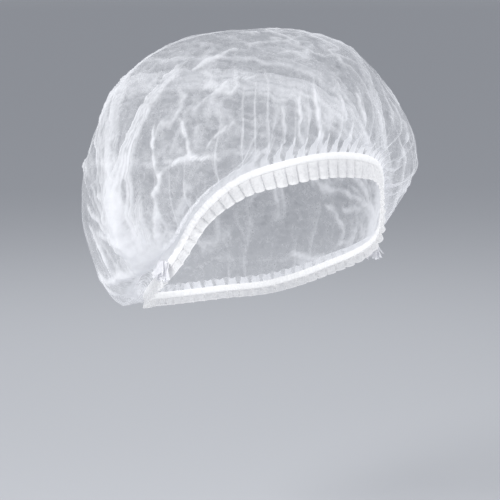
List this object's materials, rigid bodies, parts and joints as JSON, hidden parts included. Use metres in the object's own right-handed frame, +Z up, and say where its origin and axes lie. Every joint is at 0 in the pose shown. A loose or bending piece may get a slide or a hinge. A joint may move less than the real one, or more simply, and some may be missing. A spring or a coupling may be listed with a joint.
{
  "type": "disposable hair cover cap",
  "caption": "Gathered nonwoven hair cover cap in its worn form, with an elastic rim, a pleated hem and welded pleat ends at the ears, puffed on top and pouched at the back.",
  "frame": {"origin": "the point under the crown where the top of the head bears, 15 mm below the cap's highest level", "axes": "+Z up along the head, -Y towards the face, +X towards the wearer's left"},
  "size_m": [0.2356, 0.2298, 0.2042],
  "materials": {
    "nonwoven": "matte translucent spunbond nonwoven",
    "elastic": "white covered elastic",
    "hem": "matte pleated nonwoven in several layers",
    "welded_end": "nonwoven layers pressed and welded together"
  },
  "bodies": {
    "root": {"crown": "nonwoven", "elastic_band": "elastic", "frill": "hem", "weld_tuft_left": "welded_end", "weld_tuft_right": "welded_end"}
  },
  "joints": []
}
